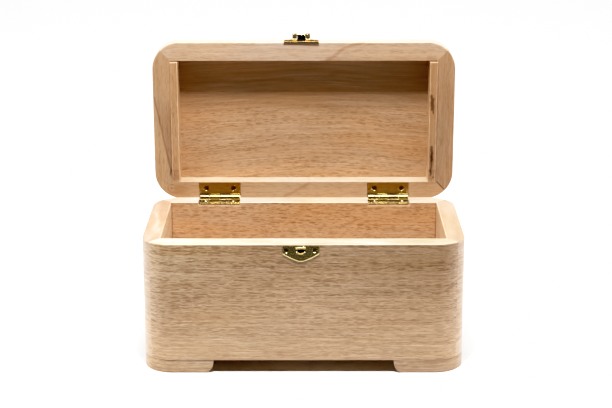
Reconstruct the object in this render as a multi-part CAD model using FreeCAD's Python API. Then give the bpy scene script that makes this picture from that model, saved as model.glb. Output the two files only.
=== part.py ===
import FreeCAD, Part
import os, math
from FreeCAD import Vector as V

# ---------------------------------------------------------------- dimensions
# Small beech chest with a hinged lid, shown with the lid standing open.
# X runs to the right, Y to the back, Z up, millimetres, floor at Z = 0.

W = 220.0            # width over all
B = 117.0            # depth of the body and of the lid, front to back
H = 92.2             # height of the body rim above the floor
CORNER_R = 20.0      # rounded upright corners of body and lid
FOOT_H = 9.2         # height of the feet
FOOT_IN_TOP = 61.5   # inner end of a foot from the middle, at its top
FOOT_IN_BOT = 63.1   # inner end of a foot from the middle, run down to the floor
FOOT_R = 6.5         # rounded lower corner of that end
FOOT_DEPTH = 30.0    # depth of a foot, front to back
T_FB = 14.0          # body front and back wall
T_SIDE = 12.8        # body side walls
RIM_R = 0.8          # small rounding of the rim edges
JOINT_CH = 0.3       # small chamfer either side of the foot glue line

BOTTOM_T = 4.0       # bottom panel
BOTTOM_Z = 14.0      # underside of the bottom panel
GROOVE = 5.0         # groove depth in the walls
GROOVE_H = 4.1       # groove height

LID_GAP = 0.15       # joint between the rims when shut
LID_H = 21.0         # lid over all
LID_IN = 13.9        # inside depth of the lid
LID_ROUND = 9.0      # rounded-over top edge of the lid
LT_FRONT = 13.4      # lid front wall
LT_BACK = 12.7       # lid back wall
LT_SIDE = 13.0       # lid side walls
BAT_T = 5.5          # lid battens, thickness
BAT_OUT = 2.5        # how far the battens stand out of the lid rim
BAT_Y0 = -44.4       # batten ends
BAT_Y1 = 45.75
BAT_RUN = 8.0        # length over which the back ends run out flush with the rim
BAT_CLEAR = 0.4      # clear of the body's back wall

AXIS_IN = 0.94       # hinge axis in from the back faces
HINGE_X = 62.2       # hinge centres left and right of the middle
HINGE_L = 30.0       # hinge length
HINGE_REACH = 11.0   # lid leaf reach from the axis
BODY_REACH = 12.6    # body leaf reach from the axis
LEAF_T = 0.8         # leaf thickness
BARREL_R = 2.25      # knuckle radius
PIN_R = 1.0          # hinge pin radius
PIN_PLAY = 0.05      # radial play in the lid knuckles
KNUCKLES = 4
KNUCKLE_GAP = 0.12   # each knuckle short of its span, at each inner end
KNUCKLE_CH = 0.2     # chamfer on the knuckle ends
SCREW_DX = 20.2      # hinge screw spacing
MORT_PLAY = 0.35     # play round a leaf in its recess

SCREW_HEAD_R = 1.95  # countersink at the metal's surface
SCREW_SINK = 0.25    # head top below the surface
SCREW_R = 0.8
SCREW_L = 8.0

LATCH_X = -1.8       # middle of latch and catch
PLATE_W = 25.3       # catch and latch plate width
PLATE_T = 0.8
PLATE_SIDE = 5.6     # straight side of the shield shape
PLATE_LONG = 11.15   # height of the shield shape
PLATE_BEVEL = 0.55   # width of the shallow bevel round the plate
PLATE_BEVEL_D = 0.3  # and its depth
PLATE_DROP = 0.75    # catch plate top edge below the rim
LUG_W = 6.8          # lug of the catch
LUG_DROP = 0.25      # top of the lug below the plate's edge
LUG_OUT = 3.4        # lug reach from the wall face
LUG_T = 0.9
LUG_NOSE = 1.2       # height of the lug's turned-down nose
HOLE_W = 5.0         # opening under the lug
HOLE_Z0 = 2.15
HOLE_Z1 = 5.45
POCKET_D = 6.5       # depth of the pocket behind the opening
POCKET_DROP = 2.6    # and how far it runs down below the opening
PLATE_SCREW_X = 9.5
PLATE_SCREW_Z = 3.0  # below the plate's straight edge
LIP_H = 1.75         # latch plate lip folded over the lid rim

EAR_X0 = 3.2         # ears of the latch plate, from the middle
EAR_X1 = 6.4
EAR_Z0 = 5.4         # ears from the lid rim
EAR_Z1 = 8.2
EAR_S = 5.25         # ears out from the lid face
EAR_BEND = 1.7       # hollow bend at the foot of an ear
PIVOT_S = 4.2        # lever pivot out from the lid face
PIVOT_Z = 6.8        # lever pivot from the lid rim
KNUCKLE_R = 0.95     # knuckle of the lever
LPIN_R = 0.45
LPIN_PLAY = 0.05
LEVER_W = 6.0
LEVER_T = 0.8
HOOK_S = 2.4         # tip of the lever's hook, out from the wall face
LEVER_FOLD = 202.0   # turn of the lever from shut to folded back
SPRING_W = 5.7
SPRING_T = 0.6
SPRING_S = 3.85      # top of the spring, out from the lid face

# ---------------------------------------------------------------- helpers
NODES = {}


def box(x0, x1, y0, y1, z0, z1):
    return Part.makeBox(x1 - x0, y1 - y0, z1 - z0, V(x0, y0, z0))


def cyl_x(r, x0, x1, y, z):
    return Part.makeCylinder(r, x1 - x0, V(x0, y, z), V(1, 0, 0))


def prism_x(pts, x0, x1):
    # closed outline given in (y, z), run along X
    p = [V(x0, a, b) for a, b in pts]
    return Part.Face(Part.makePolygon(p + [p[0]])).extrude(V(x1 - x0, 0, 0))


def prism_z(pts, z0, z1):
    p = [V(a, b, z0) for a, b in pts]
    return Part.Face(Part.makePolygon(p + [p[0]])).extrude(V(0, 0, z1 - z0))


def prism_y(pts, y0, y1):
    p = [V(a, y0, b) for a, b in pts]
    return Part.Face(Part.makePolygon(p + [p[0]])).extrude(V(0, y1 - y0, 0))


def rounded_block(z0, z1):
    # plan outline of the chest: a rectangle with rounded corners
    x, y, r = W / 2, B / 2, CORNER_R
    k = r * (1 - math.sqrt(0.5))
    e = []

    def line(a, b):
        e.append(Part.makeLine(V(a[0], a[1], z0), V(b[0], b[1], z0)))

    def arc(a, m, b):
        e.append(Part.Arc(V(a[0], a[1], z0), V(m[0], m[1], z0), V(b[0], b[1], z0)).toShape())

    line((-x + r, -y), (x - r, -y))
    arc((x - r, -y), (x - k, -y + k), (x, -y + r))
    line((x, -y + r), (x, y - r))
    arc((x, y - r), (x - k, y - k), (x - r, y))
    line((x - r, y), (-x + r, y))
    arc((-x + r, y), (-x + k, y - k), (-x, y - r))
    line((-x, y - r), (-x, -y + r))
    arc((-x, -y + r), (-x + k, -y + k), (-x + r, -y))
    return Part.Face(Part.Wire(e)).extrude(V(0, 0, z1 - z0))


def flat_edges(shape, z):
    out = []
    for ed in shape.Edges:
        b = ed.BoundBox
        if abs(b.ZMin - z) < 1e-4 and abs(b.ZMax - z) < 1e-4:
            out.append(ed)
    return out


def mitre(ring, side, xi, y0, y1, z0, z1):
    # the quarter of a frame between its two mitre planes
    # inner corners (+-xi, y0) at the front and (+-xi, y1) at the back
    t = 1.6
    fo = (xi + t * (W / 2 - xi), y0 + t * (-B / 2 - y0))
    bo = (xi + t * (W / 2 - xi), y1 + t * (B / 2 - y1))
    if side == "front":
        p = [(-xi, y0), (-fo[0], fo[1]), (fo[0], fo[1]), (xi, y0)]
    elif side == "back":
        p = [(-xi, y1), (xi, y1), (bo[0], bo[1]), (-bo[0], bo[1])]
    elif side == "left":
        p = [(-xi, y0), (-xi, y1), (-bo[0], bo[1]), (-fo[0], fo[1])]
    else:
        p = [(xi, y0), (fo[0], fo[1]), (bo[0], bo[1]), (xi, y1)]
    return ring.common(prism_z(p, z0 - 5, z1 + 5))


def screw_tool(length, head_r=SCREW_HEAD_R, r=SCREW_R):
    # hole for a countersunk wood screw pointing down from the surface Z = 0
    d = head_r - r
    head = Part.makeCone(r, head_r, d, V(0, 0, -d))
    shank = Part.makeCylinder(r, length - d - 1.6, V(0, 0, -(length - 1.6)))
    tip = Part.makeCone(0.15, r, 1.6, V(0, 0, -length))
    return head.fuse(shank).fuse(tip).removeSplitter()


def screw(length, head_r=SCREW_HEAD_R, r=SCREW_R):
    # the screw in that hole, head a little below the surface, cross recess
    s = screw_tool(length, head_r, r).cut(box(-9, 9, -9, 9, -SCREW_SINK, 9))
    depth, w = 0.5, 0.3
    a = head_r - SCREW_SINK - depth - 0.1
    zc = -SCREW_SINK - depth
    cross = box(-a, a, -w, w, zc, 0.2).fuse(box(-w, w, -a, a, zc, 0.2))
    return s.cut(cross)


def placed(shape, pos, direction):
    # turn a thing that points down so that it points along direction
    rot = FreeCAD.Rotation(V(0, 0, -1), direction)
    s = shape.copy()
    s.Placement = FreeCAD.Placement(pos, rot)
    return s


def solid_of(shape):
    s = shape.removeSplitter() if hasattr(shape, "removeSplitter") else shape
    return s.Solids[0] if len(s.Solids) == 1 else s


# ---------------------------------------------------------------- levels
AX_Y = B / 2 - AXIS_IN                 # hinge axis
AX_Z = H + LID_GAP / 2
LZ0 = H + LID_GAP                      # lid rim when shut
LZ1 = LZ0 + LID_IN                     # underside of the lid panel
LZ2 = LZ0 + LID_H                      # lid top
XI, YI = W / 2 - T_SIDE, B / 2 - T_FB  # body inside
LXI = W / 2 - LT_SIDE                  # lid inside
LY0, LY1 = -B / 2 + LT_FRONT, B / 2 - LT_BACK
FACE = -B / 2                          # front faces

# ---------------------------------------------------------------- screws
hinge_body_tools, hinge_lid_tools = [], []
hinge_body_screws, hinge_lid_screws = [], []
HS_Y = AX_Y - 6.6                       # row of hinge screws
for sx in (-1, 1):
    for dx in (-SCREW_DX / 2, SCREW_DX / 2):
        x = sx * HINGE_X + dx
        p_body = V(x, HS_Y, AX_Z - BARREL_R + LEAF_T)
        p_lid = V(x, HS_Y, AX_Z + BARREL_R - LEAF_T)
        hinge_body_tools.append(placed(screw_tool(SCREW_L), p_body, V(0, 0, -1)))
        hinge_body_screws.append(placed(screw(SCREW_L), p_body, V(0, 0, -1)))
        hinge_lid_tools.append(placed(screw_tool(SCREW_L), p_lid, V(0, 0, 1)))
        hinge_lid_screws.append(placed(screw(SCREW_L), p_lid, V(0, 0, 1)))

catch_tools, catch_screws, latch_tools, latch_screws = [], [], [], []
for dx in (-PLATE_SCREW_X, PLATE_SCREW_X):
    pc = V(LATCH_X + dx, FACE - PLATE_T, H - PLATE_DROP - PLATE_SCREW_Z)
    pl = V(LATCH_X + dx, FACE - PLATE_T, LZ0 + PLATE_SCREW_Z + 0.6)
    catch_tools.append(placed(screw_tool(SCREW_L, 1.75, 0.75), pc, V(0, 1, 0)))
    catch_screws.append(placed(screw(SCREW_L, 1.75, 0.75), pc, V(0, 1, 0)))
    latch_tools.append(placed(screw_tool(SCREW_L, 1.75, 0.75), pl, V(0, 1, 0)))
    latch_screws.append(placed(screw(SCREW_L, 1.75, 0.75), pl, V(0, 1, 0)))

# ---------------------------------------------------------------- body frame
body = rounded_block(FOOT_H, H)
body = body.makeFillet(RIM_R, flat_edges(body, H))
body = body.makeChamfer(JOINT_CH, flat_edges(body, FOOT_H))
body = body.cut(box(-XI, XI, -YI, YI, FOOT_H - 1, H + 1))
body = body.cut(box(-XI - GROOVE, XI + GROOVE, -YI - GROOVE, YI + GROOVE,
                    BOTTOM_Z, BOTTOM_Z + GROOVE_H))
# inside rim edges just broken
ic = 0.35
body = body.cut(Part.makeLoft([
    Part.makePolygon([V(-XI, -YI, H - ic), V(XI, -YI, H - ic), V(XI, YI, H - ic), V(-XI, YI, H - ic), V(-XI, -YI, H - ic)]),
    Part.makePolygon([V(-XI - 2 * ic, -YI - 2 * ic, H + ic), V(XI + 2 * ic, -YI - 2 * ic, H + ic),
                      V(XI + 2 * ic, YI + 2 * ic, H + ic), V(-XI - 2 * ic, YI + 2 * ic, H + ic),
                      V(-XI - 2 * ic, -YI - 2 * ic, H + ic)])], True, True))

body_front = mitre(body, "front", XI, -YI, YI, FOOT_H, H)
body_back = mitre(body, "back", XI, -YI, YI, FOOT_H, H)
body_left = mitre(body, "left", XI, -YI, YI, FOOT_H, H)
body_right = mitre(body, "right", XI, -YI, YI, FOOT_H, H)

# back edge bevelled so that the open lid comes to rest against it
bev = 0.05
body_back = body_back.cut(prism_x([(AX_Y - bev, AX_Z), (B / 2 + 4, AX_Z), (B / 2 + 4, AX_Z - AXIS_IN - 4 - bev)],
                                  -W / 2, W / 2))
for sx in (-1, 1):
    x0 = sx * HINGE_X - HINGE_L / 2 - MORT_PLAY
    x1 = sx * HINGE_X + HINGE_L / 2 + MORT_PLAY
    body_back = body_back.cut(box(x0, x1, YI - 2, AX_Y, AX_Z - BARREL_R, H + 2))
    body_back = body_back.cut(cyl_x(BARREL_R + 0.12, x0, x1, AX_Y, AX_Z))
for t in hinge_body_tools:
    body_back = body_back.cut(t)

# front wall: screw holes and the pocket behind the catch opening
for t in catch_tools:
    body_front = body_front.cut(t)
cz = H - PLATE_DROP
body_front = body_front.cut(box(LATCH_X - HOLE_W / 2 - 0.4, LATCH_X + HOLE_W / 2 + 0.4,
                                FACE - 1, FACE + POCKET_D, cz - HOLE_Z1 - POCKET_DROP, cz - HOLE_Z0 + 0.1))

NODES["body_front_wall"] = body_front
NODES["body_back_wall"] = body_back
NODES["body_left_wall"] = body_left
NODES["body_right_wall"] = body_right
pc = 0.3
NODES["body_bottom_panel"] = box(-XI - GROOVE + pc, XI + GROOVE - pc, -YI - GROOVE + pc, YI + GROOVE - pc,
                                 BOTTOM_Z, BOTTOM_Z + BOTTOM_T)

# ---------------------------------------------------------------- feet
foot_block = rounded_block(0, FOOT_H)
foot_block = foot_block.makeChamfer(JOINT_CH, flat_edges(foot_block, FOOT_H))
foot_block = foot_block.makeFillet(0.6, flat_edges(foot_block, 0))


def foot(sx, sy):
    y0, y1 = (-B / 2 - 1, -B / 2 + FOOT_DEPTH) if sy < 0 else (B / 2 - FOOT_DEPTH, B / 2 + 1)
    r = FOOT_R
    slope = (FOOT_IN_BOT - FOOT_IN_TOP) / FOOT_H
    a = math.atan(slope)
    # rounded lower corner of the inner end, in (x, z)
    d = r * math.tan((math.pi / 2 - a) / 2)
    p_top = (FOOT_IN_TOP, FOOT_H + 0.0)
    p_c = (FOOT_IN_BOT, 0.0)
    p1 = (p_c[0] - d * math.sin(a), d * math.cos(a))
    p2 = (p_c[0] + d, 0.0)
    cx, cz_ = p2[0], r
    ang = math.pi + (math.pi / 2 - a) / 2 + a
    pm = (cx + r * math.cos(ang), cz_ + r * math.sin(ang))
    far = W / 2 + 1

    def v(p):
        return V(sx * p[0], y0, p[1])

    e = [Part.makeLine(v(p_top), v(p1)), Part.Arc(v(p1), v(pm), v(p2)).toShape(),
         Part.makeLine(v(p2), v((far, 0))), Part.makeLine(v((far, 0)), v((far, FOOT_H))),
         Part.makeLine(v((far, FOOT_H)), v(p_top))]
    return foot_block.common(Part.Face(Part.Wire(e)).extrude(V(0, y1 - y0, 0)))


NODES["front_left_foot"] = foot(-1, -1)
NODES["front_right_foot"] = foot(1, -1)
NODES["back_left_foot"] = foot(-1, 1)
NODES["back_right_foot"] = foot(1, 1)

# ---------------------------------------------------------------- lid (built shut)
lid = rounded_block(LZ0, LZ2)
lid = lid.makeFillet(LID_ROUND, flat_edges(lid, LZ2))
lid = lid.makeFillet(RIM_R, flat_edges(lid, LZ0))
frame = lid.common(box(-W, W, -B, B, LZ0 - 1, LZ1))
frame = frame.cut(box(-LXI, LXI, LY0, LY1, LZ0 - 1, LZ1 + 1))
panel = lid.common(box(-W, W, -B, B, LZ1, LZ2 + 1))
lid_front = mitre(frame, "front", LXI, LY0, LY1, LZ0, LZ1)
lid_back = mitre(frame, "back", LXI, LY0, LY1, LZ0, LZ1)
lid_left = mitre(frame, "left", LXI, LY0, LY1, LZ0, LZ1)
lid_right = mitre(frame, "right", LXI, LY0, LY1, LZ0, LZ1)

lid_back = lid_back.cut(prism_x([(AX_Y - bev, AX_Z), (B / 2 + 4, AX_Z + AXIS_IN + 4 + bev), (B / 2 + 4, AX_Z)],
                                -W / 2, W / 2))
for sx in (-1, 1):
    x0 = sx * HINGE_X - HINGE_L / 2 - MORT_PLAY
    x1 = sx * HINGE_X + HINGE_L / 2 + MORT_PLAY
    lid_back = lid_back.cut(box(x0, x1, AX_Y - HINGE_REACH - MORT_PLAY, AX_Y, LZ0 - 2, AX_Z + BARREL_R))
    lid_back = lid_back.cut(cyl_x(BARREL_R + 0.12, x0, x1, AX_Y, AX_Z))
for t in hinge_lid_tools:
    lid_back = lid_back.cut(t)


def batten(sx):
    x0, x1 = (LXI - BAT_T, LXI) if sx > 0 else (-LXI, -LXI + BAT_T)
    ye = YI - BAT_CLEAR
    b = prism_x([(BAT_Y0, LZ1), (BAT_Y0, LZ0 - BAT_OUT), (ye - BAT_RUN, LZ0 - BAT_OUT), (ye, LZ0), (BAT_Y1, LZ0), (BAT_Y1, LZ1)],
                x0, x1)
    # long edges and front end rounded
    e = [q for q in b.Edges if q.BoundBox.ZMin < LZ0 - BAT_OUT + 0.01 and q.BoundBox.ZMax < LZ0 + 0.01
         and (q.BoundBox.YLength > 3 or q.BoundBox.YMax < BAT_Y0 + 0.01)]
    return b.makeFillet(0.8, e)


# ---------------------------------------------------------------- hinges
def knuckle_spans(xc):
    n = HINGE_L / KNUCKLES
    return [(xc - HINGE_L / 2 + i * n, xc - HINGE_L / 2 + (i + 1) * n) for i in range(KNUCKLES)]


def leaf(xc, up, mine, bore, tools, reach):
    s = 1 if up else -1
    za, zb = sorted((AX_Z + s * BARREL_R, AX_Z + s * (BARREL_R - LEAF_T)))
    x0, x1 = xc - HINGE_L / 2, xc + HINGE_L / 2
    clear = BARREL_R + 0.25
    f = box(x0, x1, AX_Y - reach, AX_Y - clear, za, zb)
    # outer corners of the leaf slightly rounded
    cor = [e for e in f.Edges if abs(e.BoundBox.ZLength - LEAF_T) < 1e-6 and abs(e.BoundBox.YMin - (AX_Y - reach)) < 1e-6]
    f = f.makeFillet(1.0, cor)
    for i, (a, b) in enumerate(knuckle_spans(xc)):
        if i % 2 != mine:
            continue
        a2 = a + (KNUCKLE_GAP if i > 0 else 0.0)
        b2 = b - (KNUCKLE_GAP if i < KNUCKLES - 1 else 0.0)
        f = f.fuse(box(a2, b2, AX_Y - clear - 0.5, AX_Y, za, zb))
        k = cyl_x(BARREL_R, a2, b2, AX_Y, AX_Z)
        f = f.fuse(k.makeChamfer(KNUCKLE_CH, [e for e in k.Edges if e.BoundBox.XLength < 1e-6]))
    f = f.cut(cyl_x(bore, x0 - 1, x1 + 1, AX_Y, AX_Z))
    for t in tools:
        f = f.cut(t)
    return f.removeSplitter()


NODES["left_hinge_body_leaf"] = leaf(-HINGE_X, False, 0, PIN_R, hinge_body_tools[:2], BODY_REACH)
NODES["right_hinge_body_leaf"] = leaf(HINGE_X, False, 0, PIN_R, hinge_body_tools[2:], BODY_REACH)
for name, xc in (("left_hinge_pin", -HINGE_X), ("right_hinge_pin", HINGE_X)):
    NODES[name] = cyl_x(PIN_R, xc - HINGE_L / 2, xc + HINGE_L / 2, AX_Y, AX_Z)
NODES["hinge_body_screws"] = Part.makeCompound(hinge_body_screws)

# ---------------------------------------------------------------- shield plates
def shield(zs, down):
    # plate with a straight edge on level zs, lying on the front face, its
    # other edges shallowly bevelled
    k = -1 if down else 1
    w = PLATE_W / 2

    def outline(i, y):
        def p(x, z):
            return V(LATCH_X + x, y, zs + k * z)

        c = (w - i, PLATE_SIDE - 0.6 * i)
        m = (7.85 - 0.46 * i, 8.4 - 0.89 * i)
        q = (3.0 - 0.3 * i, 10.6 - 0.93 * i)
        return Part.Wire([
            Part.makeLine(p(-c[0], 0), p(c[0], 0)), Part.makeLine(p(c[0], 0), p(*c)),
            Part.Arc(p(*c), p(*m), p(*q)).toShape(),
            Part.Arc(p(*q), p(0, PLATE_LONG - i), p(-q[0], q[1])).toShape(),
            Part.Arc(p(-q[0], q[1]), p(-m[0], m[1]), p(-c[0], c[1])).toShape(),
            Part.makeLine(p(-c[0], c[1]), p(-c[0], 0))])

    y1 = FACE - PLATE_T + PLATE_BEVEL_D
    s = Part.Face(outline(0, FACE)).extrude(V(0, y1 - FACE, 0))
    return s.fuse(Part.makeLoft([outline(0, y1), outline(PLATE_BEVEL, FACE - PLATE_T)], True, True)).removeSplitter()


catch = shield(cz, True)
# the D-shaped opening with its bevelled lower edge
def d_hole(w, z0, z1, a, y):
    r = w / 2

    def p(x, z):
        return V(LATCH_X + x, y, cz - z)
    return Part.Wire([Part.makeLine(p(-r, z0), p(r, z0)), Part.makeLine(p(r, z0), p(r, z1 - a)),
                      Part.Arc(p(r, z1 - a), p(0, z1), p(-r, z1 - a)).toShape(),
                      Part.makeLine(p(-r, z1 - a), p(-r, z0))])


catch = catch.cut(Part.Face(d_hole(HOLE_W, HOLE_Z0, HOLE_Z1, 2.0, FACE + 1)).extrude(V(0, -3, 0)))
catch = catch.cut(Part.makeLoft([d_hole(HOLE_W, HOLE_Z0, HOLE_Z1, 2.0, FACE),
                                 d_hole(HOLE_W + 1.2, HOLE_Z0, HOLE_Z1 + 1.0, 2.6, FACE - PLATE_T)], True, True))
# lug: pressed out of the plate over the opening, with a turned-down nose
lz = cz - LUG_DROP
lug = box(LATCH_X - LUG_W / 2, LATCH_X + LUG_W / 2, FACE - LUG_OUT, FACE, lz - LUG_T, lz)
nose = box(LATCH_X - LUG_W / 2, LATCH_X + LUG_W / 2, FACE - LUG_OUT, FACE - LUG_OUT + 1.0, lz - LUG_NOSE, lz)
lug = lug.fuse(nose).removeSplitter()
fe = [e for e in lug.Edges if abs(e.BoundBox.YMin - (FACE - LUG_OUT)) < 1e-5 and abs(e.BoundBox.YMax - (FACE - LUG_OUT)) < 1e-5
      and e.BoundBox.XLength > 1]
lug = lug.makeFillet(0.45, fe)
catch = catch.fuse(lug)
for t in catch_tools:
    catch = catch.cut(t)
NODES["catch_plate"] = catch.removeSplitter()
NODES["catch_screws"] = Part.makeCompound(catch_screws)

# ---------------------------------------------------------------- latch on the lid
PV_Y, PV_Z = FACE - PIVOT_S, LZ0 + PIVOT_Z
lp = shield(LZ0, False)
lip = box(LATCH_X - PLATE_W / 2, LATCH_X + PLATE_W / 2, FACE - PLATE_T, FACE + LIP_H, LZ0, LZ0 + PLATE_T)
fold = [e for e in lip.Edges if abs(e.BoundBox.YMax - (FACE - PLATE_T)) < 1e-5 and abs(e.BoundBox.ZMax - LZ0) < 1e-5]
lip = lip.makeFillet(0.5, fold)
lp = lp.cut(box(-W, W, FACE - 2, FACE + 2, LZ0 - 1, LZ0 + PLATE_T)).fuse(lip)
for sx in (-1, 1):
    a, b = sorted((LATCH_X + sx * EAR_X0, LATCH_X + sx * EAR_X1))
    yb, zf, zk = FACE - PLATE_T / 2, LZ0 + EAR_Z0, LZ0 + EAR_Z1
    yc, zc = FACE - PLATE_T - EAR_BEND, zf - EAR_BEND
    h = EAR_BEND * math.sqrt(0.5)
    pe = [(yb, zk), (FACE - EAR_S, zk), (FACE - EAR_S, zf), (yc, zf), (FACE - PLATE_T, zc), (yb, zc)]
    pe = [V(a, y, z) for y, z in pe]
    e = [Part.makeLine(pe[0], pe[1]), Part.makeLine(pe[1], pe[2]), Part.makeLine(pe[2], pe[3]),
         Part.Arc(pe[3], V(a, yc + h, zc + h), pe[4]).toShape(), Part.makeLine(pe[4], pe[5]), Part.makeLine(pe[5], pe[0])]
    ear = Part.Face(Part.Wire(e)).extrude(V(b - a, 0, 0))
    top = [q for q in ear.Edges if abs(q.BoundBox.YMax - (FACE - EAR_S)) < 1e-5 and q.BoundBox.XLength > 1]
    lp = lp.fuse(ear.makeFillet(0.3, top))
lp = lp.cut(cyl_x(LPIN_R, LATCH_X - EAR_X1 - 1, LATCH_X + EAR_X1 + 1, PV_Y, PV_Z))
for t in latch_tools:
    lp = lp.cut(t)
lp = lp.removeSplitter()
lid_front = lid_front.cut(box(LATCH_X - PLATE_W / 2 - 0.05, LATCH_X + PLATE_W / 2 + 0.05, FACE - 1, FACE + LIP_H,
                              LZ0 - 1, LZ0 + PLATE_T))
for t in latch_tools:
    lid_front = lid_front.cut(t)

lpin = cyl_x(LPIN_R, LATCH_X - EAR_X1, LATCH_X + EAR_X1, PV_Y, PV_Z)

# blackened leaf spring: foot on the plate, end bent up in front of the lever knuckle
sx0, sx1 = LATCH_X + 0.25 - SPRING_W / 2, LATCH_X + 0.25 + SPRING_W / 2
spring = box(sx0, sx1, FACE - SPRING_S, FACE - PLATE_T, LZ0 + 5.2 - SPRING_T, LZ0 + 5.2)
spring = spring.fuse(box(sx0, sx1, FACE - PLATE_T - 0.5, FACE - PLATE_T, LZ0 + 0.5, LZ0 + 5.2)).removeSplitter()

# lever, drawn shut: knuckle, arm hanging over the lug, hook under the lug, thumb bead
x0, x1 = LATCH_X - LEVER_W / 2, LATCH_X + LEVER_W / 2
kx0, kx1 = LATCH_X - EAR_X0 + 0.12, LATCH_X + EAR_X0 - 0.12
arm_in, arm_out = FACE - (PIVOT_S + KNUCKLE_R - LEVER_T), FACE - (PIVOT_S + KNUCKLE_R)
lug_under = lz - LUG_NOSE
hook_top = lug_under - 0.35
hook_bot = hook_top - 0.8
lever = cyl_x(KNUCKLE_R, kx0, kx1, PV_Y, PV_Z)
lever = lever.fuse(box(x0, x1, arm_out, arm_in, hook_bot - 1.7, PV_Z))
lever = lever.fuse(box(x0 + 0.5, x1 - 0.5, arm_out, FACE - HOOK_S, hook_bot, hook_top))
lever = lever.fuse(cyl_x(0.75, x0, x1, arm_out + 0.75, hook_bot - 1.9))
lever = lever.cut(cyl_x(LPIN_R + LPIN_PLAY, kx0 - 1, kx1 + 1, PV_Y, PV_Z)).removeSplitter()

# ---------------------------------------------------------------- open the lid
lid_nodes = {
    "lid_front_wall": lid_front, "lid_back_wall": lid_back, "lid_left_wall": lid_left, "lid_right_wall": lid_right,
    "lid_top_panel": panel, "lid_left_batten": batten(-1), "lid_right_batten": batten(1),
    "left_hinge_lid_leaf": leaf(-HINGE_X, True, 1, PIN_R + PIN_PLAY, hinge_lid_tools[:2], HINGE_REACH),
    "right_hinge_lid_leaf": leaf(HINGE_X, True, 1, PIN_R + PIN_PLAY, hinge_lid_tools[2:], HINGE_REACH),
    "hinge_lid_screws": Part.makeCompound(hinge_lid_screws),
    "latch_plate": lp, "latch_pin": lpin, "latch_spring": spring,
    "latch_screws": Part.makeCompound(latch_screws),
}
lever.rotate(V(0, PV_Y, PV_Z), V(1, 0, 0), -LEVER_FOLD)
lid_nodes["latch_lever"] = lever
for name, s in lid_nodes.items():
    s = s.copy()
    s.rotate(V(0, AX_Y, AX_Z), V(1, 0, 0), -90)
    NODES[name] = s

# ---------------------------------------------------------------- origin and output
# origin under the middle of the whole chest as it stands with its lid open
Y_FRONT = FACE - LUG_OUT
Y_BACK = AX_Y + LZ2 - AX_Z
Y_MID = (Y_FRONT + Y_BACK) / 2
os.makedirs("parts", exist_ok=True)
for name, s in NODES.items():
    s = s.copy()
    s.translate(V(0, -Y_MID, 0))
    s.exportStep("parts/%s.step" % name)
    print(name, len(s.Solids), s.isValid(), round(s.Volume, 2))
print("hinge axis", round(AX_Y - Y_MID, 4), round(AX_Z, 4))
dy, dz = PV_Y - AX_Y, PV_Z - AX_Z
print("lever axis", round(AX_Y + dz - Y_MID, 4), round(AX_Z - dy, 4))
print("y mid", round(Y_MID, 4))
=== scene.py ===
import bpy, math
from mathutils import Matrix, Vector

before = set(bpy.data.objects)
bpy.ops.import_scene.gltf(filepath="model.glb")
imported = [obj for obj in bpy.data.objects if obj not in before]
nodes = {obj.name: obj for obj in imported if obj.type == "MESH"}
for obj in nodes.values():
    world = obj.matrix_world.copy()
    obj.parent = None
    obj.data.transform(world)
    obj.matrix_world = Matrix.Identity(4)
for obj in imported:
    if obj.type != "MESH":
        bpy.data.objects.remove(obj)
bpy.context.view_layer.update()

scene = bpy.context.scene

# ------------------------------------------------------------------ tone response
# a small toe that holds the darks, straight mid tones, a soft shoulder that reaches white at SAT times the nominal white
view = scene.view_settings
view.view_transform = "Standard"
view.look = "None"
view.exposure = 0.0
view.gamma = 1.0
KNEE, SAT, TOE = 0.40, 1.60, 0.02
POW = (SAT - KNEE) / (1.0 - KNEE)
view.use_curve_mapping = True
cm = view.curve_mapping
cm.use_clip = False
cm.extend = "HORIZONTAL"
pts = []
for x in (0.0, 0.01, 0.02, 0.03, 0.045, 0.07, 0.10, 0.14, 0.20, 0.30, 0.40):
    pts.append((x, max(x - TOE * (1.0 - x / KNEE) ** 2, 0.15 * x)))
for i in range(1, 9):
    x = KNEE + (SAT - KNEE) * i / 8.0
    pts.append((x, 1.0 - (1.0 - KNEE) * ((SAT - x) / (SAT - KNEE)) ** POW))
for cv in cm.curves[:3]:
    while len(cv.points) < len(pts):
        cv.points.new(0.5, 0.5)
    for q, (a, b) in zip(cv.points, pts):
        q.location = (a, b)
        q.handle_type = "AUTO_CLAMPED"
cm.update()


# ------------------------------------------------------------------ node help
def is_socket(v):
    return isinstance(v, bpy.types.NodeSocket)


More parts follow.
